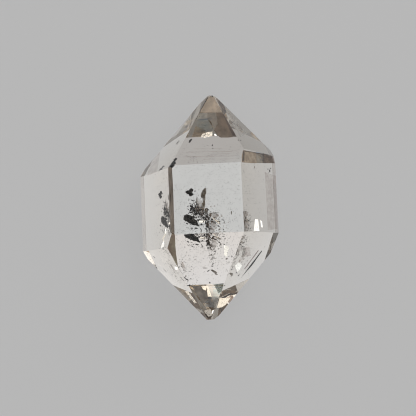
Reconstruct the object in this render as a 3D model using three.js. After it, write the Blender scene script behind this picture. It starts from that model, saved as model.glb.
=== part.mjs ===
import * as THREE from 'three';
import { ConvexGeometry } from 'three/addons/geometries/ConvexGeometry.js';

// A double-ended quartz crystal, lying on one of its six prism faces.
// Millimetres, +Z up. The crystal's long axis runs along Y and the resting
// face is on Z = 0, with the origin below the middle of the crystal.

// Angle between the long axis and the normal of each kind of face, in degrees.
// The point faces are rhombohedron faces, set by the axial ratio of quartz.
const AXIAL_RATIO = 1.1001;
const POINT_TILT = THREE.MathUtils.radToDeg(Math.atan(2 * AXIAL_RATIO / Math.sqrt(3)));
const PRISM_TILT = 90;
const SHOULDER_TILT = 78.05;
const TIP_TILT = 0;

// Distance from the crystal's centre to each face. The six values of a set go
// round the long axis in steps of 60 degrees, starting with the face on top.
const SIDES = 6;
const PRISM_FACES = [7.40, 7.54, 7.45, 6.94, 7.38, 7.16];
const FAR_POINT_FACES = [8.63, 9.55, 10.19, 9.29, 9.16, 8.30];
const NEAR_POINT_FACES = [8.00, 8.09, 9.54, 9.78, 9.54, 8.74];

// One steep face cuts the shoulder below a far point face, and both points
// end in a small worn flat.
const SHOULDER_TURN = 59.2;
const SHOULDER_FACE = 8.375;
const FAR_TIP = 14.3;
const NEAR_TIP = 13.9;

const TOLERANCE = 1e-6;

// A face as a plane whose normal points out of the crystal. end is 1 for the
// far point, on +Y, and -1 for the near one.
function face(turn, tilt, distance, end = 1) {
  const a = THREE.MathUtils.degToRad(turn);
  const t = THREE.MathUtils.degToRad(tilt);
  const normal = new THREE.Vector3(
    Math.sin(a) * Math.sin(t),
    end * Math.cos(t),
    Math.cos(a) * Math.sin(t),
  );
  return new THREE.Plane(normal, -distance);
}

function crystalFaces() {
  const faces = [];
  for (let i = 0; i < SIDES; i++) {
    const turn = i * 360 / SIDES;
    faces.push(face(turn, PRISM_TILT, PRISM_FACES[i]));
    faces.push(face(turn, POINT_TILT, FAR_POINT_FACES[i]));
    faces.push(face(turn, POINT_TILT, NEAR_POINT_FACES[i], -1));
  }
  faces.push(face(SHOULDER_TURN, SHOULDER_TILT, SHOULDER_FACE));
  faces.push(face(0, TIP_TILT, FAR_TIP));
  faces.push(face(0, TIP_TILT, NEAR_TIP, -1));
  return faces;
}

// The point where three planes meet, or null if two of them are parallel.
function meeting(a, b, c) {
  const bc = new THREE.Vector3().crossVectors(b.normal, c.normal);
  const volume = a.normal.dot(bc);
  if (Math.abs(volume) < TOLERANCE) return null;
  const ca = new THREE.Vector3().crossVectors(c.normal, a.normal);
  const ab = new THREE.Vector3().crossVectors(a.normal, b.normal);
  return bc.multiplyScalar(-a.constant)
    .addScaledVector(ca, -b.constant)
    .addScaledVector(ab, -c.constant)
    .divideScalar(volume);
}

// The crystal's corners are the meeting points that no face cuts off.
function crystalCorners(faces) {
  const corners = [];
  for (let i = 0; i < faces.length; i++) {
    for (let j = i + 1; j < faces.length; j++) {
      for (let k = j + 1; k < faces.length; k++) {
        const corner = meeting(faces[i], faces[j], faces[k]);
        if (!corner) continue;
        const kept = faces.every((f) => f.distanceToPoint(corner) < TOLERANCE);
        const fresh = corners.every((c) => c.distanceTo(corner) > TOLERANCE);
        if (kept && fresh) corners.push(corner);
      }
    }
  }
  return corners;
}

// The origin goes to the middle of the box around the corners, at its bottom.
function laidDown(corners) {
  const box = new THREE.Box3().setFromPoints(corners);
  const middle = box.getCenter(new THREE.Vector3()).setZ(box.min.z);
  return corners.map((corner) => corner.clone().sub(middle));
}

const crystal = new THREE.Mesh(
  new ConvexGeometry(laidDown(crystalCorners(crystalFaces()))),
  new THREE.MeshStandardMaterial({ color: 0xd9d4cf, roughness: 0.05, metalness: 0 }),
);
crystal.name = 'crystal';

const part = new THREE.Group();
part.add(crystal);

export default part;
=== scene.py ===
import math
import random

import bpy
from mathutils import Euler, Matrix, Vector


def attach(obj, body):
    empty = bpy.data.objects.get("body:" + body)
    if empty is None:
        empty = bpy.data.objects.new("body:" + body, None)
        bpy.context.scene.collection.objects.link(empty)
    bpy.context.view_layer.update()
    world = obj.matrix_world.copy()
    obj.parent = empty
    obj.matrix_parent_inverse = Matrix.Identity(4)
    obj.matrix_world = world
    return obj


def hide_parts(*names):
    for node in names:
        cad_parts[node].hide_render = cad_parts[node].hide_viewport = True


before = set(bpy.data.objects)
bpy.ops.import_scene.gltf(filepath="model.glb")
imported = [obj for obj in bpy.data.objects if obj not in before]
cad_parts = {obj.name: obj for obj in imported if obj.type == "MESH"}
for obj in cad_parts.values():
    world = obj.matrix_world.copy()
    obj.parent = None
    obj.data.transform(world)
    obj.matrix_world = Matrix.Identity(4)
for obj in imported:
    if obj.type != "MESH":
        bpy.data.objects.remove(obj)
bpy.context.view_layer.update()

# ---- Camera -----------------------------------------------------------------------------
# The crystal lies on one prism face, so the camera looks almost straight down on it, a few
# degrees off its long axis, from a little under four crystal lengths away.
MM = 0.001
CAMERA_PLACE = Vector((5.046, -8.792, 108.066)) * MM
CAMERA_TURN = tuple(math.radians(a) for a in (4.7201, 3.1352, -2.4549))
CAMERA_LENS = 70.356

camera_data = bpy.data.cameras.new("camera")
camera_data.lens = CAMERA_LENS
camera_data.sensor_width = 36.0
camera_data.clip_start = 0.001
camera_data.clip_end = 20.0
camera = bpy.data.objects.new("camera", camera_data)
camera.location = CAMERA_PLACE
camera.rotation_euler = CAMERA_TURN
bpy.context.scene.collection.objects.link(camera)
bpy.context.scene.camera = camera


# ---- Crystal ----------------------------------------------------------------------------
# One doubly pointed quartz crystal: six prism faces along Y, a six-sided point at each end
# and a steep shoulder face. It grew free in a pocket, so both points are whole and its
# edges are sharp, with hair-thin wear along them.
EDGE_WEAR = 0.03 * MM
WELD = 0.01 * MM
FLAT_WITHIN = math.radians(1.0)
QUARTZ_IOR = 1.544
QUARTZ_COLOUR = (0.6, 0.4, 0.1, 1.0)
QUARTZ_DENSITY = 15.0
SWELL_HEIGHT = 0.002 * MM
GROWTH_STEP_HEIGHT = 0.0005 * MM

crystal = bpy.data.objects.new("quartz_crystal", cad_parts["crystal"].data.copy())
bpy.context.scene.collection.objects.link(crystal)


def only(piece):
    """Leaves one object selected and active."""
    bpy.ops.object.select_all(action="DESELECT")
    piece.select_set(True)
    bpy.context.view_layer.objects.active = piece


only(crystal)
bpy.ops.object.mode_set(mode="EDIT")
bpy.ops.mesh.select_all(action="SELECT")
bpy.ops.mesh.remove_doubles(threshold=WELD)
bpy.ops.mesh.dissolve_limited(angle_limit=FLAT_WITHIN)
bpy.ops.object.mode_set(mode="OBJECT")
faces = [(face.center.copy(), face.normal.copy()) for face in crystal.data.polygons]
bpy.ops.object.mode_set(mode="EDIT")
bpy.ops.mesh.select_all(action="SELECT")
bpy.ops.mesh.bevel(offset=EDGE_WEAR, segments=2, affect="EDGES")
bpy.ops.object.mode_set(mode="OBJECT")


def new_material(name):
    """A material, its node tree and its Principled shader."""
    material = bpy.data.materials.new(name)
    material.use_nodes = True
    return material, material.node_tree, material.node_tree.nodes["Principled BSDF"]


def pattern(tree, scale, detail=3.0, stretch=(1.0, 1.0, 1.0)):
    """Noise on Object coordinates; scale is in features per metre, stretch squeezes it per axis."""
    place = tree.nodes.new("ShaderNodeTexCoord")
    mapping = tree.nodes.new("ShaderNodeMapping")
    mapping.inputs["Scale"].default_value = stretch
    noise = tree.nodes.new("ShaderNodeTexNoise")
    noise.inputs["Scale"].default_value = scale
    noise.inputs["Detail"].default_value = detail
    tree.links.new(place.outputs["Object"], mapping.inputs["Vector"])
    tree.links.new(mapping.outputs["Vector"], noise.inputs["Vector"])
    return noise.outputs["Fac"]


def relief(tree, shader, height, depth, under=None):
    """Bumps the shader's normal by a height pattern, depth in metres."""
    bump = tree.nodes.new("ShaderNodeBump")
    bump.inputs["Strength"].default_value = 1.0
    bump.inputs["Distance"].default_value = depth
    tree.links.new(height, bump.inputs["Height"])
    if under is not None:
        tree.links.new(under, bump.inputs["Normal"])
    tree.links.new(bump.outputs["Normal"], shader.inputs["Normal"])
    return bump.outputs["Normal"]


def remap(tree, value, low, high, to_low=0.0, to_high=1.0):
    """Maps low..high onto to_low..to_high, clamped."""
    node = tree.nodes.new("ShaderNodeMapRange")
    node.inputs["From Min"].default_value = low
    node.inputs["From Max"].default_value = high
    node.inputs["To Min"].default_value = to_low
    node.inputs["To Max"].default_value = to_high
    tree.links.new(value, node.inputs["Value"])
    return node.outputs["Result"]


quartz, tree, shader = new_material("clear_quartz")
shader.inputs["Base Color"].default_value = (1.0, 1.0, 1.0, 1.0)
shader.inputs["Roughness"].default_value = 0.0
shader.inputs["IOR"].default_value = QUARTZ_IOR
shader.inputs["Transmission Weight"].default_value = 1.0
swell = relief(tree, shader, pattern(tree, 260.0, 2.0), SWELL_HEIGHT)
relief(tree, shader, pattern(tree, 900.0, 4.0, (0.12, 2.2, 0.12)), GROWTH_STEP_HEIGHT, swell)
absorption = tree.nodes.new("ShaderNodeVolumeAbsorption")
absorption.inputs["Color"].default_value = QUARTZ_COLOUR
absorption.inputs["Density"].default_value = QUARTZ_DENSITY
tree.links.new(absorption.outputs["Volume"], tree.nodes["Material Output"].inputs["Volume"])
crystal.data.materials.clear()
crystal.data.materials.append(quartz)


# ---- Sealed voids -----------------------------------------------------------------------
# Bubbles of gas finer than salt, shut in as the crystal grew. Their walls are the quartz
# itself, so they are turned inside out and joined to it.
def at_unit(kind, **settings):
    """Adds a primitive at the origin with nothing else selected, and returns it."""
    bpy.ops.object.select_all(action="DESELECT")
    getattr(bpy.ops.mesh, kind)(location=(0.0, 0.0, 0.0), **settings)
    return bpy.context.object


def placed_copy(model, centre, size, turn=(0.0, 0.0, 0.0)):
    """A copy with its own mesh, stretched to size, turned in degrees and moved, all in mm."""
    copy = bpy.data.objects.new(model.name, model.data.copy())
    bpy.context.scene.collection.objects.link(copy)
    stretch = Matrix.Diagonal((*[s * MM for s in size], 1.0))
    spin = Euler([math.radians(a) for a in turn]).to_matrix().to_4x4()
    copy.data.transform(Matrix.Translation(Vector(centre) * MM) @ spin @ stretch)
    return copy


def joined(pieces, name):
    """Joins pieces into one object at the origin."""
    bpy.ops.object.select_all(action="DESELECT")
    for piece in pieces:
        piece.select_set(True)
    bpy.context.view_layer.objects.active = pieces[0]
    bpy.ops.object.join()
    pieces[0].name = name
    return pieces[0]


def inside(place, gap=0.2):
    """True if a place, in mm, is deeper than the gap under every face."""
    return all((Vector(place) * MM - centre).dot(normal) < -gap * MM for centre, normal in faces)


def cloud(pick, centre, spread, count):
    """Random places round a centre, in mm, denser in the middle, none outside the crystal."""
    places = []
    for _ in range(count):
        place = Vector([middle + pick.gauss(0.0, width) for middle, width in zip(centre, spread)])
        if inside(place):
            places.append(place)
    return places


def turned_inside_out(model):
    """Smooths a ball and points its faces inward."""
    only(model)
    bpy.ops.object.shade_smooth()
    bpy.ops.object.mode_set(mode="EDIT")
    bpy.ops.mesh.select_all(action="SELECT")
    bpy.ops.mesh.flip_normals()
    bpy.ops.object.mode_set(mode="OBJECT")


# Width in mm, then length and height as shares of it.
BUBBLE_WIDTHS = (0.08, 0.20)
BUBBLE_STRETCH = (0.8, 1.7)
BUBBLE_FLATNESS = 0.7
# Centre, spread and count of each cloud, in mm.
BUBBLE_CLOUDS = (
    ((0.9, -2.2, 5.8), (0.45, 0.80, 0.5), 30),
    ((1.6, -3.0, 6.2), (0.35, 0.50, 0.4), 10),
    ((0.1, -4.4, 5.2), (0.25, 0.60, 0.3), 16),
    ((-1.5, -0.9, 6.2), (0.50, 0.45, 0.3), 16),
    ((3.2, -5.5, 6.0), (1.00, 1.40, 0.8), 10),
    ((-2.6, -6.0, 5.5), (0.70, 1.20, 0.8), 10),
)
bubble = at_unit("primitive_ico_sphere_add", subdivisions=2, radius=0.5)
turned_inside_out(bubble)
pick = random.Random(11)
voids = []
for centre, spread, count in BUBBLE_CLOUDS:
    for place in cloud(pick, centre, spread, count):
        width = pick.uniform(*BUBBLE_WIDTHS)
        length = width * pick.uniform(*BUBBLE_STRETCH)
        turn = (0.0, 0.0, pick.uniform(0.0, 180.0))
        voids.append(placed_copy(bubble, place, (width, length, width * BUBBLE_FLATNESS), turn))
bpy.data.objects.remove(bubble)
for void in voids:
    void.data.materials.append(quartz)
crystal = joined([crystal] + voids, "quartz_crystal")
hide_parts("crystal")
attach(crystal, "root")


# ---- Carbon flakes ----------------------------------------------------------------------
# Black splinters of hardened hydrocarbon grown into the quartz: a thick crumpled flake, a
# smaller one above it, crumbs beside them, an upright string of lumps and lone chips.
SKIN_DEPTH = 0.05 * MM
CARBON_BLACK = (0.003, 0.003, 0.003)
# The grey is painted highlight: grey patches in the colour stand in for glints on the flakes, beside the
# real gloss that the roughness gives.
CARBON_PAINTED_GLINT_GREY = (0.34, 0.33, 0.31)
CRUMPLE_HEIGHT = 0.02 * MM
LUMPINESS = 0.10
CUT_DEPTHS = (0.30, 0.45)
CHIP_TILT = 12


def two_tone(tree, value, low, high, first, second):
    """A colour that goes from the first to the second as a value goes from low to high."""
    ramp = tree.nodes.new("ShaderNodeValToRGB")
    for element, place, colour in zip(ramp.color_ramp.elements, (low, high), (first, second)):
        element.position = place
        element.color = (*colour, 1.0)
    tree.links.new(value, ramp.inputs["Fac"])
    return ramp.outputs["Color"]


carbon, tree, shader = new_material("carbon")
shader.inputs["IOR"].default_value = 1.6
grain = pattern(tree, 7000.0, 2.0)
tree.links.new(two_tone(tree, grain, 0.54, 0.75, CARBON_BLACK, CARBON_PAINTED_GLINT_GREY), shader.inputs["Base Color"])
tree.links.new(remap(tree, grain, 0.3, 0.7, 0.25, 0.6), shader.inputs["Roughness"])
relief(tree, shader, pattern(tree, 9000.0, 3.0), CRUMPLE_HEIGHT)


def cut_off(place, way, threshold):
    """In edit mode, cuts off what lies past a place in a way, and closes the cut."""
    bpy.ops.mesh.select_all(action="SELECT")
    bpy.ops.mesh.bisect(
        plane_co=place, plane_no=way, use_fill=True, clear_outer=True, threshold=threshold
    )


def trimmed(piece):
    """Cuts off whatever of a piece would reach the crystal's skin."""
    only(piece)
    for centre, normal in faces:
        limit = centre - normal * SKIN_DEPTH
        if all((vertex.co - limit).dot(normal) < 0.0 for vertex in piece.data.vertices):
            continue
        bpy.ops.object.mode_set(mode="EDIT")
        cut_off(limit, normal, 1e-7)
        bpy.ops.object.mode_set(mode="OBJECT")
    return piece


def splinter(centre, size, angle, seed, cuts=7):
    """A ball made lumpy, cut by random planes, stretched to a size in mm and turned in degrees."""
    pick = random.Random(seed)
    piece = at_unit("primitive_ico_sphere_add", subdivisions=3, radius=0.5)
    bpy.ops.object.mode_set(mode="EDIT")
    bpy.ops.mesh.select_all(action="SELECT")
    bpy.ops.transform.vertex_random(offset=LUMPINESS, uniform=1.0, normal=0.3, seed=seed)
    for _ in range(cuts):
        way = Vector((pick.gauss(0, 1), pick.gauss(0, 1), pick.gauss(0, 0.5))).normalized()
        cut_off(way * pick.uniform(*CUT_DEPTHS), way, 1e-5)
    bpy.ops.object.mode_set(mode="OBJECT")
    full = [length / width for length, width in zip(size, piece.dimensions)]
    tilts = [pick.uniform(-CHIP_TILT, CHIP_TILT) for _ in range(2)]
    made = placed_copy(piece, centre, full, (*tilts, angle))
    bpy.data.objects.remove(piece)
    return trimmed(made)


def inclusion(pieces, name, material):
    """Joins pieces into one inclusion of one material, carried by the crystal."""
    piece = joined(pieces, name)
    piece.data.materials.clear()
    piece.data.materials.append(material)
    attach(piece, "root")


def splinters(name, rows, seed, material=carbon, cuts=7):
    """One inclusion out of rows of centre and size, in mm, and angle, in degrees."""
    pieces = [splinter(*row, seed + at, cuts) for at, row in enumerate(rows)]
    inclusion(pieces, name, material)


splinters("carbon_flake_large", (
    ((-2.21, -1.73, 6.2), (1.90, 1.01, 0.80), -33),
    ((-2.71, -1.49, 6.3), (0.80, 0.74, 0.55), -58),
    ((-1.62, -2.12, 6.1), (0.86, 0.69, 0.70), -45),
    ((-1.93, -1.40, 6.6), (0.54, 0.32, 0.40), -25),
    ((-2.47, -1.24, 6.6), (0.44, 0.29, 0.30), -15),
    ((-1.37, -2.42, 6.0), (0.49, 0.27, 0.30), -35),
    ((-1.62, -2.77, 5.8), (0.44, 0.18, 0.20), -12),
    ((-2.06, -2.75, 5.8), (0.18, 0.14, 0.15), 20),
), 100)
splinters("carbon_flake_small", (
    ((-2.12, 1.95, 4.6), (0.66, 0.52, 0.40), 35),
    ((-2.16, 1.48, 4.5), (0.52, 0.66, 0.40), 80),
    ((-2.48, 1.76, 4.6), (0.56, 0.48, 0.25), -10),
    ((-2.22, 1.72, 4.5), (0.60, 0.50, 0.30), 20),
    ((-1.62, 1.87, 4.6), (0.20, 0.12, 0.15), -30),
), 130)
splinters("carbon_crumbs", (
    ((-2.02, -0.10, 6.3), (0.42, 0.29, 0.30), -35),
    ((-2.11, -0.46, 6.2), (0.22, 0.44, 0.30), 0),
    ((-1.99, -0.81, 6.2), (0.25, 0.29, 0.30), 0),
    ((-2.25, -0.62, 6.2), (0.22, 0.15, 0.20), 30),
    ((-1.80, -0.30, 6.3), (0.27, 0.14, 0.20), -30),
    ((-1.54, -0.30, 6.2), (0.32, 0.12, 0.20), 30),
    ((-1.31, -0.64, 6.1), (0.32, 0.25, 0.30), 60),
    ((-1.46, -0.98, 6.2), (0.34, 0.27, 0.30), 10),
    ((-1.14, -0.43, 6.2), (0.22, 0.15, 0.20), 0),
    ((-1.22, -0.83, 6.2), (0.17, 0.22, 0.20), 0),
    ((-1.63, -0.68, 6.2), (0.29, 0.11, 0.20), 0),
    ((-0.96, -0.96, 6.1), (0.34, 0.14, 0.20), -10),
    ((-0.77, -1.28, 6.1), (0.15, 0.27, 0.20), 10),
    ((-0.60, -1.03, 6.0), (0.14, 0.37, 0.20), 5),
    ((-1.52, -1.49, 6.1), (0.27, 0.22, 0.30), 0),
    ((-1.16, -1.69, 6.0), (0.29, 0.12, 0.20), 10),
    ((-0.86, -2.40, 6.0), (0.66, 0.14, 0.15), -4),
    ((-0.62, -1.55, 6.0), (0.20, 0.32, 0.25), 10),
    ((-0.56, -1.89, 6.0), (0.17, 0.20, 0.20), 0),
    ((-0.99, -3.14, 5.8), (0.11, 0.42, 0.15), -12),
    ((-1.07, -2.88, 5.8), (0.12, 0.17, 0.15), 0),
), 150)
splinters("carbon_string", (
    ((-0.22, -1.38, 5.6), (0.34, 0.29, 0.30), -20),
    ((-0.42, -1.69, 5.6), (0.27, 0.20, 0.30), 30),
    ((-0.06, -1.61, 5.6), (0.16, 0.44, 0.25), 8),
    ((-0.10, -1.99, 5.6), (0.22, 0.39, 0.30), 5),
    ((-0.26, -2.21, 5.5), (0.34, 0.39, 0.40), 0),
    ((-0.18, -2.58, 5.5), (0.27, 0.34, 0.35), -10),
    ((-0.40, -2.87, 5.5), (0.22, 0.29, 0.30), 15),
    ((0.01, -2.93, 5.5), (0.14, 0.32, 0.20), -10),
    ((-0.34, -0.64, 5.8), (0.15, 0.32, 0.20), 10),
    ((-0.13, -0.43, 5.8), (0.14, 0.22, 0.20), 0),
    ((0.25, -1.28, 5.8), (0.20, 0.20, 0.20), 0),
    ((0.43, -2.06, 5.8), (0.44, 0.18, 0.20), -20),
    ((0.67, -2.19, 5.8), (0.32, 0.12, 0.15), -25),
    ((0.44, -1.00, 6.0), (0.29, 0.07, 0.10), 0),
    ((0.88, -1.00, 6.0), (0.27, 0.10, 0.10), 0),
    ((1.20, -1.03, 6.0), (0.20, 0.09, 0.10), 0),
    ((-0.44, -2.18, 4.9), (0.15, 0.44, 0.20), 5),
    ((-0.31, -3.15, 4.9), (0.17, 0.47, 0.20), 0),
    ((-0.01, -3.08, 4.9), (0.10, 0.44, 0.12), 25),
    ((0.11, -3.37, 4.9), (0.44, 0.10, 0.12), -35),
), 180)
splinters("carbon_chips", (
    ((0.43, -1.77, 5.6), (0.42, 0.20, 0.20), 25),
    ((0.73, -1.64, 5.6), (0.27, 0.11, 0.15), 15),
    ((1.23, -2.10, 5.8), (0.29, 0.17, 0.20), -25),
    ((0.93, -1.98, 5.8), (0.17, 0.21, 0.15), 20),
    ((0.82, -2.25, 5.8), (0.20, 0.11, 0.12), 60),
    ((1.18, -2.67, 5.8), (0.42, 0.11, 0.12), -32),
    ((1.75, -3.07, 6.2), (0.17, 0.14, 0.12), 0),
    ((1.26, -3.06, 6.2), (0.12, 0.16, 0.12), 0),
    ((1.88, -2.22, 6.2), (0.12, 0.25, 0.12), -20),
    ((1.70, -1.92, 6.2), (0.32, 0.10, 0.12), -5),
    ((0.54, -3.66, 5.0), (0.29, 0.15, 0.20), 10),
    ((0.42, -3.33, 5.0), (0.11, 0.29, 0.12), -10),
    ((0.19, -4.62, 5.0), (0.25, 0.15, 0.15), 35),
    ((-0.16, -4.20, 5.0), (0.29, 0.10, 0.10), 15),
    ((0.09, -4.10, 5.0), (0.22, 0.09, 0.10), 40),
    ((0.17, -5.51, 5.0), (0.32, 0.15, 0.15), 50),
    ((0.09, -5.81, 5.0), (0.32, 0.15, 0.18), 0),
    ((-0.43, -6.49, 5.0), (0.36, 0.16, 0.18), 38),
    ((-2.73, -2.13, 5.0), (0.36, 0.17, 0.15), -40),
    ((-2.26, -2.26, 5.0), (0.27, 0.07, 0.10), -40),
    ((-2.22, -2.80, 5.0), (0.23, 0.14, 0.12), -30),
    ((-2.71, -2.64, 5.0), (0.32, 0.06, 0.10), -25),
    ((-0.32, -8.26, 5.0), (0.20, 0.20, 0.12), 0),
    ((2.59, -4.55, 5.0), (0.22, 0.15, 0.12), 20),
    ((2.63, -8.00, 8.0), (0.27, 0.18, 0.15), 20),
    ((3.29, -8.72, 8.0), (0.34, 0.22, 0.20), 35),
    ((-2.95, -8.57, 8.6), (0.44, 0.16, 0.15), -32),
    ((-3.20, -8.30, 8.6), (0.29, 0.15, 0.15), -35),
    ((-2.67, -9.50, 8.9), (0.27, 0.20, 0.15), 20),
    ((-2.33, -9.73, 9.0), (0.29, 0.10, 0.10), -30),
    ((-1.76, 6.55, 6.0), (0.70, 0.32, 0.30), 48),
    ((0.81, 6.02, 8.0), (0.12, 0.32, 0.12), -20),
    ((0.84, 5.54, 8.0), (0.12, 0.15, 0.10), 0),
    ((4.09, 7.20, 11.0), (0.22, 0.27, 0.12), -30),
    ((7.53, 3.95, 7.9), (0.27, 0.40, 0.20), -25),
    ((7.12, 4.15, 7.9), (0.22, 0.18, 0.12), 30),
    ((7.70, 4.27, 7.8), (0.24, 0.12, 0.12), -30),
    ((7.26, 3.70, 7.9), (0.14, 0.12, 0.10), 0),
    ((-8.03, 0.00, 9.0), (0.22, 0.25, 0.15), -30),
    ((-5.69, -7.68, 7.35), (0.75, 0.12, 0.14), -37),
    ((-6.93, -5.97, 7.91), (0.42, 0.14, 0.15), -45),
    ((-3.38, 5.10, 13.5), (0.50, 0.30, 0.30), 55),
    ((-3.62, 4.58, 13.85), (0.80, 0.55, 0.50), 52),
    ((-3.92, 4.22, 14.05), (0.50, 0.40, 0.40), 45),
), 220)


# ---- Carbon dust ------------------------------------------------------------------------
# The same carbon as loose grains: a spray round the flakes and the string, and a thin haze
# of specks through the whole body.

# Centre, spread and count of each cloud, then its finest and coarsest grain, in mm.
DUST_CLOUDS = (
    ((-1.80, -0.35, 6.2), (0.28, 0.45, 0.3), 90, 0.08, 0.26),
    ((-1.25, -0.95, 6.1), (0.45, 0.45, 0.3), 130, 0.06, 0.24),
    ((-0.50, -1.30, 5.9), (0.35, 0.55, 0.3), 90, 0.06, 0.22),
    ((-0.05, -2.20, 5.4), (0.25, 0.80, 0.3), 70, 0.05, 0.18),
    ((0.80, -1.60, 6.0), (0.50, 0.40, 0.4), 50, 0.03, 0.13),
    ((0.90, -2.60, 5.8), (0.45, 0.80, 0.5), 45, 0.03, 0.11),
    ((-1.70, -3.00, 5.4), (0.70, 0.35, 0.3), 40, 0.04, 0.12),
    ((0.10, -4.60, 5.1), (0.30, 1.00, 0.4), 40, 0.03, 0.12),
    ((-3.30, -6.00, 6.0), (0.45, 1.20, 0.5), 130, 0.04, 0.13),
    ((-2.60, -7.60, 6.8), (0.45, 0.80, 0.5), 50, 0.04, 0.12),
    ((2.60, -6.00, 8.0), (0.60, 1.20, 0.8), 40, 0.03, 0.10),
    ((-5.10, -6.56, 9.2), (0.50, 0.70, 0.6), 60, 0.03, 0.10),
)
# The haze: its reach along X, Y and Z and the width of its specks, in mm.
HAZE_COUNT = 2600
HAZE_BOX = ((-4.0, 4.0), (-8.0, 5.5), (3.0, 12.5))
FINEST_HAZE = 0.03
HAZE_RANGE = 0.05

crumb = at_unit("primitive_ico_sphere_add", subdivisions=1, radius=0.5)
pick = random.Random(5)
dust = []
for centre, spread, count, thin, thick in DUST_CLOUDS:
    for place in cloud(pick, centre, spread, count):
        width = pick.uniform(thin, thick)
        size = (width, width * pick.uniform(0.4, 1.2), width * 0.6)
        turn = [pick.uniform(0, 180) for _ in range(3)]
        dust.append(placed_copy(crumb, place, size, turn))
for _ in range(HAZE_COUNT):
    place = [pick.uniform(*reach) for reach in HAZE_BOX]
    width = FINEST_HAZE + HAZE_RANGE * pick.random() ** 2
    if inside(place):
        dust.append(placed_copy(crumb, place, (width, width, width)))
bpy.data.objects.remove(crumb)
inclusion(dust, "carbon_dust", carbon)


# ---- Stains -----------------------------------------------------------------------------
# Iron and clay let in along healed cracks: brown streaks that run out from the carbon, and
# faint tan wisps round it.
MOTTLE_STRETCH = (1.4, 0.4, 1.4)
MOTTLE_DARK = 0.74
MOTTLE_PALE = 1.16
STAIN_HEIGHT = 0.002 * MM


def stain_and_painted_light(name, colour, cover, soft=False, sheen=0.0):
    """A see-through stain, and a sheet of painted light and shade: colour, least and most cover, and how
    mirror-like it is.
    """
    material, tree, shader = new_material(name)
    dark = [MOTTLE_DARK * part for part in colour]
    light = [min(1.0, MOTTLE_PALE * part) for part in colour]
    mottle = two_tone(tree, pattern(tree, 900.0, 4.0, MOTTLE_STRETCH), 0.35, 0.65, dark, light)
    tree.links.new(mottle, shader.inputs["Base Color"])
    shader.inputs["Roughness"].default_value = 0.7 - 0.4 * sheen
    shader.inputs["Metallic"].default_value = sheen
    # A ray goes in and out of a sheet, so each wall stops less than the whole does.
    wall = [1.0 - math.sqrt(1.0 - share) for share in cover]
    thickness = remap(tree, pattern(tree, 1800.0, 4.0), 0.35, 0.65, *wall)
    if soft:
        rim = tree.nodes.new("ShaderNodeLayerWeight")
        rim.inputs["Blend"].default_value = 0.5
        middle = remap(tree, rim.outputs["Facing"], 0.15, 0.95, 1.0, 0.0)
        thin = tree.nodes.new("ShaderNodeMath")
        thin.operation = "MULTIPLY"
        tree.links.new(thickness, thin.inputs[0])
        tree.links.new(middle, thin.inputs[1])
        thickness = thin.outputs["Value"]
    tree.links.new(thickness, shader.inputs["Alpha"])
    relief(tree, shader, pattern(tree, 4000.0, 3.0), STAIN_HEIGHT)
    return material


brown_streak = stain_and_painted_light("brown_streak", (0.36, 0.30, 0.22), (0.75, 0.96), soft=True)
splinters("brown_streaks", (
    ((-0.50, 1.45, 6.0), (0.62, 1.20, 0.35), -12),
    ((-0.34, 1.90, 6.0), (0.26, 0.60, 0.20), -30),
    ((-0.50, 0.80, 6.0), (0.42, 1.90, 0.25), -2),
    ((-0.60, -0.05, 6.0), (0.46, 1.30, 0.25), -8),
    ((-1.39, 0.58, 5.6), (0.14, 1.25, 0.12), -6),
    ((-1.26, 0.05, 5.6), (0.14, 0.60, 0.12), -3),
    ((-1.71, 0.30, 5.6), (0.10, 0.75, 0.08), 12),
    ((-0.17, -2.40, 4.9), (0.50, 0.90, 0.45), -5),
    ((-0.25, -0.70, 5.8), (0.36, 0.75, 0.25), 5),
    ((0.22, -1.25, 5.8), (0.30, 0.60, 0.25), 0),
    ((0.27, -6.62, 5.0), (0.95, 0.34, 0.20), -34),
    ((0.52, -7.02, 5.0), (0.45, 0.24, 0.15), -30),
    ((-2.70, 7.32, 9.0), (0.22, 0.75, 0.12), -28),
    ((-8.15, -0.25, 7.6), (0.18, 0.40, 0.10), 0),
    ((-5.15, 4.19, 11.0), (0.26, 0.14, 0.06), 35),
    ((2.87, -1.34, 10.5), (0.16, 0.45, 0.12), 0),
    ((1.95, -4.84, 5.0), (0.30, 0.22, 0.10), 30),
    ((5.88, 4.06, 11.5), (0.32, 0.22, 0.08), 20),
), 320, brown_streak, cuts=3)

tan_wisp = stain_and_painted_light("tan_wisp", (0.60, 0.42, 0.30), (0.12, 0.55), soft=True)
splinters("tan_wisps", (
    ((-1.05, 0.30, 5.4), (0.80, 1.60, 0.40), 5),
    ((-1.20, -0.75, 5.8), (1.70, 1.40, 0.50), -10),
    ((-1.25, -0.60, 6.2), (1.00, 0.60, 0.30), -35),
    ((-0.14, -1.85, 5.8), (0.60, 1.60, 0.35), 3),
    ((0.20, -3.10, 5.0), (0.70, 1.30, 0.35), 18),
    ((-0.50, -1.30, 5.6), (1.20, 1.60, 0.50), 0),
    ((0.70, -1.35, 6.2), (1.20, 0.80, 0.30), -15),
    ((0.65, -2.20, 6.0), (0.80, 1.00, 0.40), 10),
    ((0.45, -2.60, 4.9), (0.90, 1.20, 0.50), 0),
    ((-0.90, -6.05, 5.2), (0.70, 0.30, 0.20), -10),
    ((-3.40, -6.20, 7.0), (0.40, 1.50, 0.30), 12),
    ((3.20, -5.80, 8.6), (0.70, 1.80, 0.30), -28),
), 350, tan_wisp, cuts=2)


# ---- Films, painted light and shade -----------------------------------------------------
# Sheets thinner than paper just under the skin. At both points most of them are painted
# light and shade: dark sheets and tints over the shade seen in the points, and pale, tinted
# and mirror-like sheets whose colours stand in for the light and reflections seen through
# them. Brown and dark sheets lie on the shoulder and along one edge, with a seam of carbon,
# grey veils and growth lines.
FILM_THICKNESS = 0.02 * MM
FILM_RAGGEDNESS = 0.02 * MM
TINT_HEIGHT = 0.001 * MM


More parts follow.
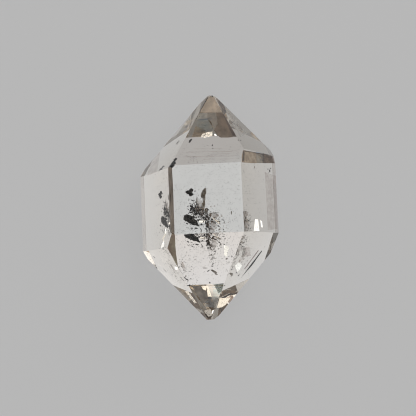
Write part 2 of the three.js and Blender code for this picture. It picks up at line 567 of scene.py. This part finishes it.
def film(corners, seed, ragged=FILM_RAGGEDNESS):
    """A thin sheet through its corners, in mm, roughened by an offset in metres."""
    sheet = at_unit("primitive_circle_add", vertices=len(corners), radius=1.0, fill_type="NGON")
    for vertex, corner in zip(sheet.data.vertices, corners):
        vertex.co = Vector(corner) * MM
    bpy.ops.object.mode_set(mode="EDIT")
    bpy.ops.mesh.select_all(action="SELECT")
    bpy.ops.mesh.subdivide(number_cuts=3, smoothness=0.0)
    bpy.ops.transform.vertex_random(offset=ragged, uniform=1.0, normal=0.0, seed=seed)
    down = (0.0, 0.0, -FILM_THICKNESS)
    bpy.ops.mesh.extrude_region_move(TRANSFORM_OT_translate={"value": down})
    bpy.ops.mesh.select_all(action="SELECT")
    bpy.ops.mesh.normals_make_consistent(inside=False)
    bpy.ops.object.mode_set(mode="OBJECT")
    return trimmed(sheet)


def films(name, outlines, seed, material):
    """One inclusion out of several sheets."""
    sheets = [film(corners, seed + at) for at, corners in enumerate(outlines)]
    inclusion(sheets, name, material)


def tint(name, thin, thick):
    """A film of clear colour: what it lets through where it is thin and where it is thick."""
    material, tree, shader = new_material(name)
    shader.inputs["Roughness"].default_value = 0.0
    shader.inputs["IOR"].default_value = 1.0
    shader.inputs["Transmission Weight"].default_value = 1.0
    depth = two_tone(tree, pattern(tree, 1500.0, 4.0), 0.38, 0.62, thin, thick)
    tree.links.new(depth, shader.inputs["Base Color"])
    relief(tree, shader, pattern(tree, 4000.0, 3.0), TINT_HEIGHT)
    return material


# Painted reflection: a cream mirror sheet under the cap of the upper point, its colour standing in for
# the light seen through the point.
films("cap_painted_reflection_film", (
    ((0.60, 13.85, 6.79), (1.23, 13.80, 6.82), (1.79, 12.61, 7.76),
     (2.18, 11.38, 8.73), (-0.53, 11.58, 8.57), (0.00, 12.80, 7.61)),
), 400, stain_and_painted_light("cap_painted_reflection_film", (0.57, 0.455, 0.345), (1.0, 1.0), sheen=1.0))
# Painted light: a sheet on the wedge below the left band, its colour pushed to full brightness to make
# up for the dim light that reaches it.
films("wedge_painted_light_film", (
    ((-4.21, -3.55, 14.41), (-3.72, -3.58, 14.39), (-3.83, -5.43, 12.92),
     (-3.80, -7.41, 11.37), (-4.79, -5.11, 13.18)),
), 405, stain_and_painted_light("wedge_painted_light_film", (1.0, 0.78, 0.60), (0.98, 1.0)))
films("brown_band", (
    ((-4.20, 4.18, 14.10), (-4.05, 4.13, 14.36), (-3.95, -3.59, 14.52),
     (-4.00, -3.60, 14.44), (-4.09, -0.21, 14.28), (-4.18, 0.33, 14.13)),
    ((-4.07, 4.20, 14.28), (-3.74, 4.05, 14.28), (-3.73, 0.29, 14.28),
     (-3.74, -3.59, 14.28), (-4.00, -3.58, 14.28), (-4.04, 0.31, 14.28)),
    ((-4.21, 3.63, 14.08), (-4.21, 1.51, 14.08), (-4.20, -0.83, 14.08), (-4.20, -3.51, 14.08),
     (-3.92, -3.55, 14.57), (-3.94, -0.88, 14.54), (-4.02, 1.47, 14.39), (-4.10, 3.25, 14.27)),
    ((-4.24, 1.49, 14.28), (-4.23, -0.85, 14.28), (-4.23, -3.53, 14.28),
     (-4.00, -3.54, 14.28), (-4.01, -0.86, 14.28), (-4.08, 1.48, 14.28)),
), 410, stain_and_painted_light("brown_band", (0.66, 0.56, 0.47), (1.0, 1.0)))
# Painted shade: an opaque grey-brown sheet over the dark patch on the lower point, its colour set to
# give the shade seen there.
films("opaque_painted_shade_film", (
    ((-2.33, -9.74, 9.54), (-1.30, -9.74, 9.53), (-1.05, -10.29, 9.10), (-0.58, -10.50, 8.94),
     (-0.66, -11.60, 8.07), (-1.20, -12.00, 7.76), (-1.95, -10.75, 8.74)),
), 412, stain_and_painted_light("opaque_painted_shade_film", (0.76, 0.68, 0.59), (0.96, 1.0), sheen=0.7))
# Painted shade: a half-clear pale grey sheet over the grey patch on the lower point; its underside is
# also seen through the upper point.
films("half_clear_painted_shade_film", (
    ((-0.64, -11.18, 8.41), (0.72, -11.21, 8.38), (0.62, -11.96, 7.79),
     (0.45, -12.59, 7.30), (-0.95, -12.42, 7.43), (-1.00, -11.90, 7.84)),
), 415, stain_and_painted_light("half_clear_painted_shade_film", (0.92, 0.96, 0.97), (0.45, 0.65), sheen=0.7))
# Painted reflection: opaque beige sheets in the patch on the upper point, their colour standing in for a
# reflection seen through the point.
films("beige_painted_reflection_film", (
    ((0.38, 11.45, 8.69), (1.48, 11.45, 8.69), (1.70, 9.82, 9.97),
     (0.86, 10.16, 9.71), (0.34, 10.62, 9.34)),
    ((0.82, 10.20, 9.67), (1.70, 9.87, 9.94), (1.20, 8.80, 10.78)),
), 416, stain_and_painted_light("beige_painted_reflection_film", (0.60, 0.52, 0.43), (1.0, 1.0)))
# Painted reflection: an opaque drab sheet at the top left of the patch on the upper point.
films("drab_painted_reflection_film", (
    ((-0.67, 11.45, 8.69), (0.40, 11.45, 8.69), (0.36, 10.60, 9.36), (-0.95, 10.60, 9.36)),
), 419, stain_and_painted_light("drab_painted_reflection_film", (0.74, 0.68, 0.59), (1.0, 1.0)))
# Painted shade: brown sheets over the dark right side of the patch on the upper point.
films("umber_painted_shade_film", (
    ((1.45, 11.45, 8.69), (2.28, 11.41, 8.72), (2.83, 9.56, 10.18), (1.64, 9.83, 9.96)),
    ((1.66, 9.90, 9.91), (2.78, 9.64, 10.11), (3.56, 7.76, 11.60),
     (1.92, 7.76, 11.60), (1.15, 8.86, 10.73)),
), 417, stain_and_painted_light("umber_painted_shade_film", (0.44, 0.33, 0.24), (1.0, 1.0)))
# Painted shade: a darker brown strip at the right edge of that patch.
films("darkest_painted_shade_film", (
    ((2.25, 11.41, 8.72), (2.48, 11.35, 8.76), (3.98, 7.81, 11.56),
     (3.52, 7.81, 11.56), (2.80, 9.60, 10.15)),
), 418, stain_and_painted_light("darkest_painted_shade_film", (0.27, 0.20, 0.16), (1.0, 1.0)))
films("brown_film", (
    ((4.44, 5.88, 13.36), (6.96, 5.98, 9.09), (8.10, 5.82, 7.25),
     (8.30, 4.99, 7.24), (4.37, 4.23, 14.16)),
), 420, tint("brown_film", (0.61, 0.52, 0.41), (0.43, 0.34, 0.26)))
# Painted reflection: a faint tan tint over a reflection seen through the lower point.
films("tan_painted_reflection_film", (
    ((1.23, -10.72, 8.46), (2.32, -10.27, 7.27), (2.45, -11.50, 5.12), (0.93, -11.50, 7.75)),
), 425, tint("tan_painted_reflection_film", (1.0, 0.97, 0.94), (0.93, 0.90, 0.86)))
films("grey_film", (
    ((-0.70, 10.60, 9.36), (1.05, 10.66, 9.31), (1.05, 10.45, 9.48), (-0.70, 10.36, 9.55)),
    ((-1.08, 8.95, 10.66), (1.10, 9.02, 10.60), (1.05, 8.78, 10.79), (-1.08, 8.70, 10.86)),
    ((6.10, 6.12, 10.46), (7.08, 6.07, 8.83), (7.01, 4.74, 9.50), (6.14, 4.57, 11.03)),
), 435, tint("grey_film", (0.80, 0.86, 0.92), (0.62, 0.69, 0.80)))
# Painted reflection: a blue tint over the left side of the patch on the upper point.
films("teal_painted_reflection_film", (
    ((-0.75, 10.58, 9.33), (0.62, 10.58, 9.33), (1.00, 9.08, 10.51), (-1.00, 9.08, 10.51)),
), 437, tint("teal_painted_reflection_film", (0.98, 1.0, 1.0), (0.80, 0.91, 0.96)))
# Painted shade: a dark green tint over a patch on the lower point.
films("green_painted_shade_film", (
    ((0.30, -9.72, 9.55), (1.50, -9.60, 9.64), (1.32, -10.50, 8.94), (0.80, -10.78, 8.72)),
), 438, tint("green_painted_shade_film", (0.30, 0.33, 0.32), (0.24, 0.26, 0.25)))
films("dark_film", (
    ((6.95, 6.04, 9.05), (8.22, 5.91, 6.97), (8.42, 5.01, 7.00), (6.87, 4.71, 9.72)),
    ((4.60, 5.94, 12.90), (7.78, 5.95, 7.57), (6.88, 5.77, 9.15),
     (5.30, 5.85, 11.76), (4.71, 5.70, 12.82)),
    ((4.57, 5.78, 13.02), (4.71, 5.68, 12.83), (4.59, 4.58, 13.48), (4.38, 4.48, 13.87)),
    ((-8.25, 4.26, 6.85), (-7.22, 5.84, 6.15), (-6.98, 5.68, 6.81),
     (-7.71, 4.81, 6.91), (-8.07, 4.22, 7.22)),
    ((5.79, -5.72, 8.30), (5.88, -5.80, 8.05), (4.08, -8.00, 7.75), (3.98, -7.95, 7.95)),
), 440, tint("dark_film", (0.47, 0.42, 0.41), (0.28, 0.24, 0.24)))
# Painted light: a pale half-clear veil that evens out the light over the right face of the upper point.
films("pale_painted_light_film", (
    ((2.32, 12.19, 7.34), (2.74, 12.00, 6.92), (3.10, 11.69, 6.79), (3.98, 10.45, 7.20),
     (5.11, 8.68, 8.03), (4.30, 7.81, 10.80), (2.68, 11.32, 8.08)),
), 450, stain_and_painted_light("pale_painted_light_film", (0.95, 0.85, 0.79), (0.45, 0.65)))
# Painted shade: dark tints on both sides of the cap of the upper point.
films("dark_painted_shade_film", (
    ((0.47, 13.97, 6.68), (-0.38, 13.28, 6.29), (-0.61, 11.76, 8.29),
     (-0.48, 11.59, 8.76), (0.02, 12.79, 7.74), (0.60, 13.65, 7.40)),
    ((1.38, 13.85, 6.36), (2.30, 13.01, 6.09), (2.70, 11.60, 7.62), (2.42, 11.25, 8.65),
     (2.22, 11.50, 8.60), (1.85, 12.50, 7.67), (1.42, 13.55, 6.76)),
), 460, tint("dark_painted_shade_film", (0.36, 0.30, 0.26), (0.22, 0.17, 0.15)))
films("carbon_seam", (
    ((6.24, -5.80, 7.50), (6.30, -5.88, 7.25), (4.96, -7.60, 6.92),
     (3.56, -9.06, 7.05), (4.80, -7.48, 7.35)),
), 470, carbon)
films("grey_veil", (
    ((7.07, 3.66, 9.39), (8.46, 3.39, 6.98), (8.31, -3.24, 7.24), (7.09, -3.43, 9.36)),
    ((-7.47, 6.85, 4.05), (-5.91, 7.24, 6.13), (-5.79, 3.99, 11.45), (-7.33, 3.89, 8.95)),
    ((4.02, -5.40, 12.00), (4.79, -5.34, 10.78), (4.91, -6.43, 8.84), (4.07, -6.54, 10.12)),
), 480, tint("grey_veil", (0.90, 0.88, 0.87), (0.78, 0.74, 0.73)))
films("growth_lines", (
    ((-2.14, 6.07, 12.91), (3.31, 5.86, 13.08), (3.30, 5.76, 13.16), (-2.14, 5.97, 13.00)),
    ((-2.48, 5.47, 13.39), (3.64, 5.25, 13.56), (3.64, 5.14, 13.65), (-2.48, 5.35, 13.48)),
    ((-1.20, 6.45, 12.61), (2.13, 6.32, 12.71), (2.13, 6.24, 12.78), (-1.20, 6.36, 12.68)),
    ((-0.12, 4.98, 13.77), (3.98, 4.83, 13.89), (3.98, 4.73, 13.97), (-0.12, 4.88, 13.85)),
    ((0.71, 5.63, 13.25), (3.06, 5.55, 13.32), (3.06, 5.46, 13.39), (0.71, 5.55, 13.33)),
), 490, tint("growth_line", (0.97, 0.96, 0.95), (0.88, 0.86, 0.85)))


# ---- Healed cracks ----------------------------------------------------------------------
# Silvery slivers where a crack closed again round a film of air. Each one lies so that it
# throws a light up through the face above it, and flashes.
CRACK_ROUGHNESS = 0.10
CRACK_HEIGHT = 0.002 * MM
# The middles of two soft boxes, in metres.
KEY_PLACE = Vector((0.225, 0.30, 0.33))
FRONT_PLACE = Vector((0.0, -0.175, 0.303))
# The ways that the faces point in.
TOP_FACE = (0.0, 0.0, 1.0)
UPPER_POINT = (0.0, 0.619, 0.786)
LOWER_POINT = (0.0, -0.619, 0.786)
RIGHT_FACE = (0.866, 0.0, 0.5)
LEFT_FACE = (-0.866, 0.0, 0.5)
RIGHT_POINT = (0.68, -0.619, 0.393)
LEFT_POINT = (-0.68, -0.619, 0.393)
SHOULDER = (0.84, 0.207, 0.501)


def crack(name, colour, cover, closed_at=0.28, open_at=0.42):
    """A mirror-like film of air, broken up where the crack has closed; cover is its most."""
    material, tree, shader = new_material(name)
    shader.inputs["Base Color"].default_value = (*colour, 1.0)
    shader.inputs["Metallic"].default_value = 1.0
    shader.inputs["Roughness"].default_value = CRACK_ROUGHNESS
    closed = remap(tree, pattern(tree, 5000.0, 3.0), closed_at, open_at, 0.0, cover)
    tree.links.new(closed, shader.inputs["Alpha"])
    relief(tree, shader, pattern(tree, 3000.0, 2.0), CRACK_HEIGHT)
    return material


def in_quartz(way, normal):
    """A direction in air, turned into the one it takes inside the crystal under a face."""
    way = way.normalized()
    across = (way - normal * way.dot(normal)) / QUARTZ_IOR
    return across - normal * math.copysign(math.sqrt(1.0 - across.dot(across)), -way.dot(normal))


def sliver(corners, normal, light, depth, seed):
    """A sheet seen inside the corners of a patch of skin, some mm down, tilted to a light."""
    normal = Vector(normal).normalized()
    middle = sum((Vector(corner) for corner in corners), Vector()) / len(corners)
    down = in_quartz(middle * MM - CAMERA_PLACE, normal)
    up = in_quartz(light - middle * MM, normal)
    tilt = (up - down).normalized()
    middle = middle + down * depth
    spots = []
    for corner in corners:
        reach = (middle - Vector(corner)).dot(tilt) / down.dot(tilt)
        spots.append(Vector(corner) + down * reach)
    return film(spots, seed, ragged=0.0)


def cracks(name, rows, seed, material):
    """One inclusion out of rows of a sliver's corners, face, light and depth."""
    slivers = [sliver(*row, seed + at) for at, row in enumerate(rows)]
    inclusion(slivers, name, material)


cracks("silver_cracks", (
    (((-1.20, -1.88, 6.3), (-0.48, -1.91, 6.3), (-0.54, -2.14, 6.3), (-1.12, -2.12, 6.3)),
     TOP_FACE, KEY_PLACE, 0.0),
    (((1.20, 8.34, 11.12), (1.75, 8.34, 11.13), (1.68, 8.06, 11.35), (1.27, 8.08, 11.33)),
     UPPER_POINT, KEY_PLACE, 0.25),
    (((5.60, -2.22, 11.97), (5.97, -2.20, 11.33), (6.06, -3.59, 11.17), (5.39, -3.62, 12.33)),
     RIGHT_FACE, KEY_PLACE, 0.45),
    (((6.22, -2.30, 10.90), (6.44, -2.38, 10.52), (6.50, -3.22, 10.42), (6.31, -3.11, 10.75)),
     RIGHT_FACE, KEY_PLACE, 0.35),
    (((-1.57, -12.61, 7.22), (-1.33, -12.69, 7.16), (-1.19, -13.14, 6.81), (-1.43, -13.13, 6.82)),
     LOWER_POINT, FRONT_PLACE, 0.25),
    (((-0.27, -13.31, 6.68), (-0.11, -12.87, 7.02), (0.11, -12.81, 7.07), (-0.09, -13.38, 6.62)),
     LOWER_POINT, FRONT_PLACE, 0.25),
    (((-5.00, -2.87, 12.70), (-4.80, -2.90, 13.05), (-4.79, -3.51, 13.08), (-4.94, -3.49, 12.80)),
     LEFT_FACE, FRONT_PLACE, 0.35),
    (((-5.31, -4.32, 12.18), (-5.13, -4.41, 12.47), (-5.27, -5.18, 12.23), (-5.66, -5.12, 11.57),
      (-5.59, -4.77, 11.68)), LEFT_FACE, FRONT_PLACE, 0.35),
    (((-4.24, -7.36, 10.67), (-3.79, -7.41, 11.37), (-3.83, -7.74, 10.78), (-4.23, -7.81, 9.98)),
     LEFT_POINT, FRONT_PLACE, 0.25),
), 500, crack("silver_crack", (0.95, 0.93, 0.88), 1.0))
cracks("pale_cracks", (
    (((1.71, -3.11, 6.0), (2.31, -3.43, 6.0), (2.00, -4.87, 6.0), (1.64, -4.56, 6.0)),
     LOWER_POINT, FRONT_PLACE, 0.0),
    (((2.92, -7.55, 10.42), (3.41, -7.15, 10.20), (3.80, -7.51, 8.96), (3.21, -8.34, 8.68)),
     RIGHT_POINT, FRONT_PLACE, 0.45),
), 520, crack("pale_crack", (0.90, 0.90, 0.86), 0.5))
cracks("cream_cracks", (
    (((0.38, -12.59, 6.88), (0.82, -11.38, 7.98), (2.38, -11.42, 5.26), (1.85, -12.03, 5.23),
      (0.96, -12.59, 5.87)), RIGHT_POINT, FRONT_PLACE, 0.35),
    (((-1.31, -9.83, 9.46), (-0.52, -9.83, 9.47), (-0.76, -10.49, 8.95), (-0.97, -10.42, 9.00)),
     LOWER_POINT, FRONT_PLACE, 0.25),
    (((-0.58, -9.79, 9.49), (-0.40, -9.86, 9.44), (-0.05, -11.20, 8.40), (-0.56, -11.25, 8.36)),
     LOWER_POINT, FRONT_PLACE, 0.20),
), 530, crack("cream_crack", (0.80, 0.71, 0.58), 0.95))
cracks("hazy_cracks", (
    (((-3.38, -10.32, 7.36), (-2.89, -10.39, 8.10), (-1.96, -11.85, 7.42), (-2.25, -11.92, 6.80)),
     LEFT_POINT, FRONT_PLACE, 0.25),
    (((-0.40, 8.01, 11.38), (-0.20, 8.46, 11.03), (0.47, 8.64, 10.89), (1.02, 8.69, 10.85),
      (0.98, 8.07, 11.33), (0.11, 7.84, 11.51)), UPPER_POINT, KEY_PLACE, 0.35),
    (((6.18, 5.75, 10.48), (6.42, 5.72, 10.10), (6.88, 5.25, 9.52), (6.60, 5.20, 9.99)),
     SHOULDER, KEY_PLACE, 0.10),
    (((0.40, -1.58, 6.3), (0.64, -1.60, 6.3), (1.34, -2.22, 6.3), (1.22, -2.38, 6.3)),
     TOP_FACE, KEY_PLACE, 0.0),
    (((-4.94, -3.40, 12.81), (-4.77, -3.45, 13.11), (-5.31, -4.18, 12.16), (-5.46, -4.04, 11.92)),
     LEFT_FACE, FRONT_PLACE, 0.30),
    (((-5.43, -4.07, 11.97), (-5.31, -4.01, 12.18), (-5.13, -4.39, 12.48), (-5.28, -4.47, 12.21)),
     LEFT_FACE, FRONT_PLACE, 0.40),
), 540, crack("hazy_crack", (0.85, 0.78, 0.67), 0.75, 0.30, 0.66))
cracks("dim_cracks", (
    (((-1.16, -12.88, 7.00), (-0.33, -12.72, 7.14), (-0.20, -13.55, 6.50), (-0.68, -13.65, 6.42),
      (-0.98, -13.27, 6.70)), LOWER_POINT, FRONT_PLACE, 0.40),
), 550, crack("dim_crack", (0.34, 0.31, 0.27), 0.9))


# ---- Floor and light --------------------------------------------------------------------
# A plain pale floor under soft boxes. What is seen through the crystal is the bright
# surround of the tent and not the floor, so the floor is left out of refracted rays. It
# lies a hair below the rest face, so that the face isn't hidden by it from the inside.
FLOOR_GAP = 0.03 * MM
FLOOR_RADIUS = 1.6
FLOOR_GLOW = 0.352
OVERHEAD_PLACE = Vector((-0.017, -0.006, 0.35))

floor = at_unit("primitive_circle_add", vertices=96, radius=FLOOR_RADIUS, fill_type="NGON")
floor.location.z = -FLOOR_GAP
floor.name = "floor"
floor.visible_transmission = False
floor_material, tree, shader = new_material("floor_paper")
shader.inputs["Base Color"].default_value = (0.30, 0.30, 0.30, 1.0)
shader.inputs["Roughness"].default_value = 0.9
shader.inputs["Emission Color"].default_value = (1.0, 1.0, 1.0, 1.0)
shader.inputs["Emission Strength"].default_value = FLOOR_GLOW
floor.data.materials.append(floor_material)


def soft_disc(name, place, radius, core, radiance, rim):
    """A round soft box facing the crystal: even to its core radius, then fading to its rim's."""
    disc = at_unit("primitive_circle_add", vertices=64, radius=radius, fill_type="NGON")
    disc.name = name
    disc.location = place
    disc.rotation_euler = Vector(place).to_track_quat("Z", "Y").to_euler()
    material = bpy.data.materials.new(name)
    material.use_nodes = True
    tree = material.node_tree
    tree.nodes.remove(tree.nodes["Principled BSDF"])
    where = tree.nodes.new("ShaderNodeTexCoord")
    middle = tree.nodes.new("ShaderNodeVectorMath")
    middle.operation = "LENGTH"
    tree.links.new(where.outputs["Object"], middle.inputs[0])
    glow = tree.nodes.new("ShaderNodeEmission")
    fade = tree.nodes.new("ShaderNodeMapRange")
    fade.interpolation_type = "SMOOTHSTEP"
    fade.inputs["From Min"].default_value = core
    fade.inputs["From Max"].default_value = radius
    fade.inputs["To Min"].default_value = radiance
    fade.inputs["To Max"].default_value = rim
    tree.links.new(middle.outputs["Value"], fade.inputs["Value"])
    tree.links.new(fade.outputs["Result"], glow.inputs["Strength"])
    tree.links.new(glow.outputs["Emission"], tree.nodes["Material Output"].inputs["Surface"])
    disc.data.materials.append(material)
    disc.visible_camera = False


soft_disc("overhead_box", OVERHEAD_PLACE, radius=0.028, core=0.017, radiance=1.20, rim=0.21)
soft_disc("key_box", KEY_PLACE, radius=0.12, core=0.10, radiance=1.45, rim=1.00)
soft_disc("front_box", FRONT_PLACE, radius=0.045, core=0.038, radiance=1.55, rim=0.20)


# ---- Tent -------------------------------------------------------------------------------
# A tent of white cloth round the crystal: its brightness from straight down to straight up,
# a slope across it, and the broad glows and shades of what stands outside.
TENT_BY_HEIGHT = (
    (-1.0, 0.60),
    (-0.7, 0.58),
    (-0.4, 0.54),
    (0.0, 0.50),
    (0.3, 0.45),
    (0.6, 0.32),
    (0.85, 0.25),
    (1.0, 0.22),
)
TENT_SLOPE = (0.11, 0.18, 0.0)
# Direction, half width in degrees and added light of each; a shade takes light away.
GLOWS = (
    ((-0.05, 0.08, -0.99), 26.0, (0.03, 0.06, 0.09)),
    ((0.0, -0.45, -0.89), 30.0, (-0.12, -0.14, -0.15)),
    ((-0.62, -0.41, -0.66), 25.0, (-0.08, -0.09, -0.10)),
    ((-0.88, 0.09, -0.47), 20.0, (-0.05, -0.06, -0.06)),
    ((-0.05, 0.62, -0.78), 30.0, (0.14, 0.12, 0.12)),
    ((0.62, 0.60, -0.55), 25.0, (0.06, 0.05, 0.04)),
    ((-0.55, 0.58, -0.60), 22.0, (0.08, 0.08, 0.08)),
    ((0.93, 0.08, -0.36), 20.0, (-0.07, -0.08, -0.08)),
    ((0.42, 0.60, 0.68), 34.0, (0.60, 0.60, 0.60)),
    ((0.87, 0.27, 0.41), 16.0, (0.20, 0.20, 0.20)),
    ((0.85, -0.08, 0.52), 28.0, (-0.18, -0.18, -0.18)),
    ((0.99, 0.04, 0.14), 14.0, (-0.28, -0.28, -0.28)),
    ((0.82, -0.45, -0.35), 25.0, (-0.42, -0.42, -0.42)),
    ((0.38, -0.84, 0.38), 18.0, (-0.12, -0.13, -0.15)),
    ((0.20, -0.98, 0.0), 22.0, (0.26, 0.28, 0.31)),
    ((-0.60, -0.53, 0.60), 16.0, (0.12, 0.12, 0.12)),
    ((-0.82, -0.05, 0.57), 18.0, (-0.20, -0.24, -0.26)),
    ((-0.97, -0.23, 0.0), 16.0, (0.50, 0.50, 0.50)),
    ((-0.45, 0.20, 0.87), 25.0, (-0.08, -0.08, -0.08)),
)
DARKEST = (0.02, 0.02, 0.02)
BACKDROP_GREY = 0.456

world = bpy.data.worlds.new("tent")
bpy.context.scene.world = world
world.use_nodes = True
tree = world.node_tree
tree.nodes.clear()
direction = tree.nodes.new("ShaderNodeTexCoord").outputs["Generated"]


def vector_step(operation, a, b, result="Vector"):
    """A vector operation on two sockets or plain triples."""
    node = tree.nodes.new("ShaderNodeVectorMath")
    node.operation = operation
    for socket, value in zip(node.inputs, (a, b)):
        if isinstance(value, tuple):
            socket.default_value = value
        else:
            tree.links.new(value, socket)
    return node.outputs[result]


def towards(way):
    """How far the seen direction leans towards a way: the cosine between them."""
    return vector_step("DOT_PRODUCT", direction, way, "Value")


ramp = tree.nodes.new("ShaderNodeValToRGB")
while len(ramp.color_ramp.elements) < len(TENT_BY_HEIGHT):
    ramp.color_ramp.elements.new(0.5)
for element, (up, grey) in zip(ramp.color_ramp.elements, TENT_BY_HEIGHT):
    element.position = (up + 1.0) / 2.0
    element.color = (grey, grey, grey, 1.0)
tree.links.new(remap(tree, towards((0.0, 0.0, 1.0)), -1.0, 1.0), ramp.inputs["Fac"])
light = vector_step("ADD", ramp.outputs["Color"], towards(TENT_SLOPE))
for way, half_width, amount in GLOWS:
    near = tree.nodes.new("ShaderNodeMapRange")
    near.interpolation_type = "SMOOTHSTEP"
    near.inputs["From Min"].default_value = math.cos(math.radians(half_width))
    near.inputs["From Max"].default_value = 1.0
    tree.links.new(towards(tuple(Vector(way).normalized())), near.inputs["Value"])
    light = vector_step("ADD", light, vector_step("MULTIPLY", near.outputs["Result"], amount))
light = vector_step("MAXIMUM", light, DARKEST)

tent = tree.nodes.new("ShaderNodeBackground")
tree.links.new(light, tent.inputs["Color"])
backdrop = tree.nodes.new("ShaderNodeBackground")
backdrop.inputs["Color"].default_value = (BACKDROP_GREY, BACKDROP_GREY, BACKDROP_GREY, 1.0)
seen = tree.nodes.new("ShaderNodeLightPath")
mix = tree.nodes.new("ShaderNodeMixShader")
tree.links.new(seen.outputs["Is Camera Ray"], mix.inputs["Fac"])
tree.links.new(tent.outputs[0], mix.inputs[1])
tree.links.new(backdrop.outputs[0], mix.inputs[2])
output = tree.nodes.new("ShaderNodeOutputWorld")
tree.links.new(mix.outputs[0], output.inputs["Surface"])

# Light crosses the crystal and its films many times before it leaves.
BOUNCES = 32
scene = bpy.context.scene
scene.view_settings.view_transform = "Standard"
scene.cycles.max_bounces = BOUNCES
scene.cycles.transmission_bounces = BOUNCES
scene.cycles.glossy_bounces = BOUNCES
scene.cycles.transparent_max_bounces = BOUNCES
scene.cycles.use_denoising = True
scene.cycles.filter_width = 1.1
